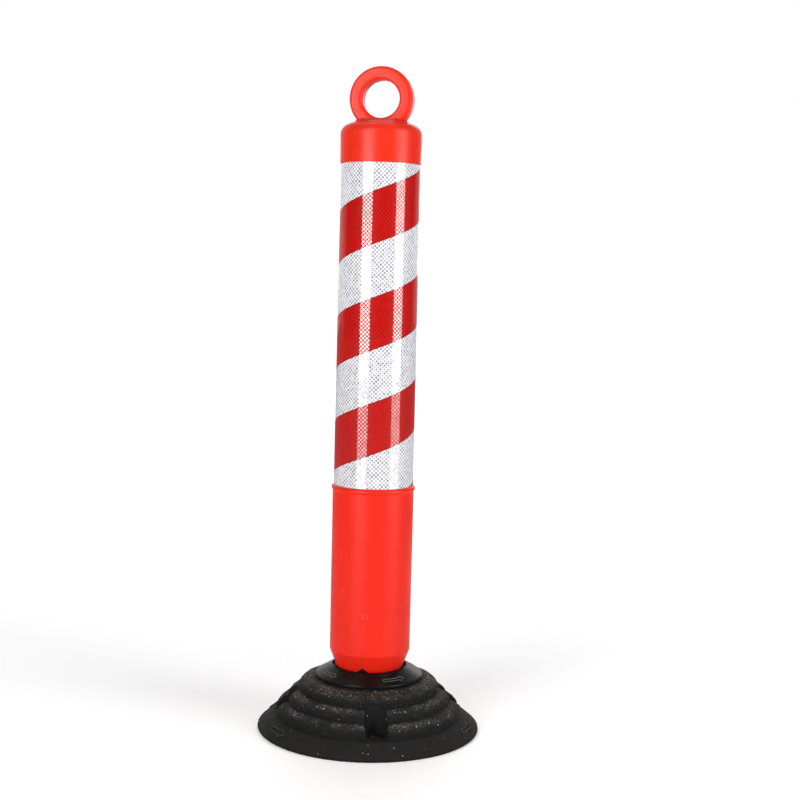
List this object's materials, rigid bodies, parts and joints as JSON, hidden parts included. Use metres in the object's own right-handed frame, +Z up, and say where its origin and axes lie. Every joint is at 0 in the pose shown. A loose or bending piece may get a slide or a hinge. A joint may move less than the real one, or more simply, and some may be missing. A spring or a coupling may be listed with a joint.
{
  "type": "delineator post",
  "caption": "Portable delineator post: striped reflective tube with a hanging ring, held by a twist-lock collar in a stepped round rubber base.",
  "frame": {"origin": "on the floor, at the centre of the base", "axes": "+Z up along the post, -Y towards the pocket at the front of the base"},
  "size_m": [0.2258, 0.2258, 0.6665],
  "materials": {
    "crumb_rubber": "moulded crumb rubber, matte, with pale specks",
    "collar_plastic": "glossy black moulding",
    "foot_plastic": "stiff black moulding",
    "steel": "zinc plated",
    "post_plastic": "orange-red, satin",
    "white_reflective": "white prismatic reflective sheeting",
    "red_reflective": "transparent red film on prismatic sheeting"
  },
  "bodies": {
    "base": {"rubber_base": "crumb_rubber", "lock_plate": "foot_plastic", "lock_plate_screws": "steel"},
    "collar": {"twist_collar": "collar_plastic", "collar_retainer": "steel"},
    "post": {"post_tube": "post_plastic", "foot_flange": "foot_plastic", "spigot": "foot_plastic", "backing_plate": "steel", "foot_bolts": "steel", "foot_nuts": "steel", "top_cap": "post_plastic", "white_sheeting": "white_reflective", "red_band_1": "red_reflective", "red_band_2": "red_reflective", "red_band_3": "red_reflective", "red_band_4": "red_reflective", "red_band_5": "red_reflective"}
  },
  "joints": [
    {"name": "post_twist", "type": "hinge", "parent": "base", "child": "collar", "pos_m": [0, 0, 0.055], "axis": [0, 0, -1], "range_deg": [0, 60]},
    {"name": "post_lift", "type": "slide", "parent": "collar", "child": "post", "axis": [0, 0, 1], "range_m": [0, 0.07]}
  ]
}
